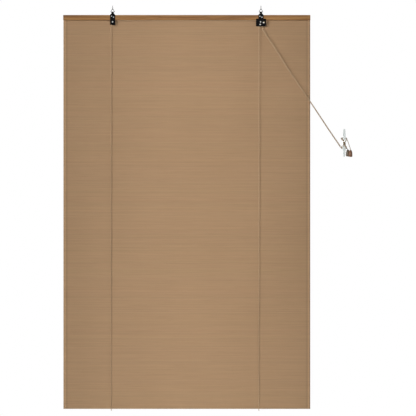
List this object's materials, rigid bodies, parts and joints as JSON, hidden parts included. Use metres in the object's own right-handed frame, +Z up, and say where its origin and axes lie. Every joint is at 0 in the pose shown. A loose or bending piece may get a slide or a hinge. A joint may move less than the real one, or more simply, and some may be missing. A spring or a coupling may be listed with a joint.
{
  "type": "bamboo roller blind",
  "caption": "Reed mat roller blind on a wooden head rail, hung from rings and screw hooks, raised by cords over sheaves with a cord lock and tied off on a wall cleat.",
  "frame": {"origin": "midway between the two hook screws, on the ceiling plane", "axes": "+X along the head rail to the right, +Y back to the wall, +Z up"},
  "size_m": [1.1708, 0.0352, 1.6423],
  "materials": {
    "hook_steel": "zinc plated wire",
    "cleat_plastic": "moulded white plastic",
    "tassel_wood": "turned and varnished dark wood",
    "cord": "twisted beige cord",
    "rail_wood": "stained wood with a fine grain",
    "reed": "split bamboo reeds",
    "thread": "warp thread",
    "black_steel": "black lacquered sheet steel",
    "rivet_steel": "bright plated steel",
    "sheave_plastic": "dark nylon",
    "roller_brass": "knurled brass"
  },
  "bodies": {
    "fixings": {"left_hook": "hook_steel", "right_hook": "hook_steel", "left_ring": "hook_steel", "right_ring": "hook_steel", "cleat": "cleat_plastic", "left_tassel": "tassel_wood", "right_tassel": "tassel_wood", "tassel_knots": "cord", "left_pull_cord": "cord", "right_pull_cord": "cord"},
    "blind": {"headrail": "rail_wood", "rear_batten": "rail_wood", "batten_nails": "rivet_steel", "reed_mat": "reed", "warp_threads": "thread", "bottom_slat": "rail_wood", "left_hanger": "black_steel", "left_hanger_screws": "rivet_steel", "left_axle": "rivet_steel", "left_axle_bush": "rivet_steel", "lock_front_plate": "black_steel", "lock_rear_plate": "black_steel", "lock_screws": "rivet_steel", "sheave_axle": "rivet_steel", "lock_spacer": "rivet_steel", "left_lift_cord": "cord", "right_lift_cord": "cord", "cord_staples": "rivet_steel", "cord_knots": "cord"},
    "left_sheave": {"left_sheave": "sheave_plastic"},
    "rear_sheave": {"rear_sheave": "sheave_plastic"},
    "front_sheave": {"front_sheave": "sheave_plastic"},
    "lock_pin": {"lock_pin": "rivet_steel"},
    "lock_roller": {"lock_roller": "roller_brass"}
  },
  "joints": [
    {"name": "blind_swing", "type": "hinge", "parent": "fixings", "child": "blind", "pos_m": [0, 0, -0.01954], "axis": [1, 0, 0], "range_deg": [-15, 0], "deforming": ["left_pull_cord", "right_pull_cord"]},
    {"name": "left_sheave_spin", "type": "hinge", "parent": "blind", "child": "left_sheave", "pos_m": [-0.3, 0.00604, -0.05904], "axis": [0, 1, 0], "continuous": true},
    {"name": "rear_sheave_spin", "type": "hinge", "parent": "blind", "child": "rear_sheave", "pos_m": [0.2985, 0.00604, -0.05904], "axis": [0, 1, 0], "continuous": true},
    {"name": "front_sheave_spin", "type": "hinge", "parent": "blind", "child": "front_sheave", "pos_m": [0.2985, 0.00144, -0.05904], "axis": [0, 1, 0], "continuous": true},
    {"name": "lock_slide", "type": "slide", "parent": "blind", "child": "lock_pin", "axis": [0.5, 0, 0.866], "range_m": [0, 0.004]},
    {"name": "lock_roller_spin", "type": "hinge", "parent": "lock_pin", "child": "lock_roller", "pos_m": [0.3111, 0, -0.06244], "axis": [0, 1, 0], "continuous": true}
  ],
  "couplings": [
    {"joint": "rear_sheave_spin", "follows": "left_sheave_spin", "ratio": 1},
    {"joint": "front_sheave_spin", "follows": "left_sheave_spin", "ratio": 1}
  ]
}
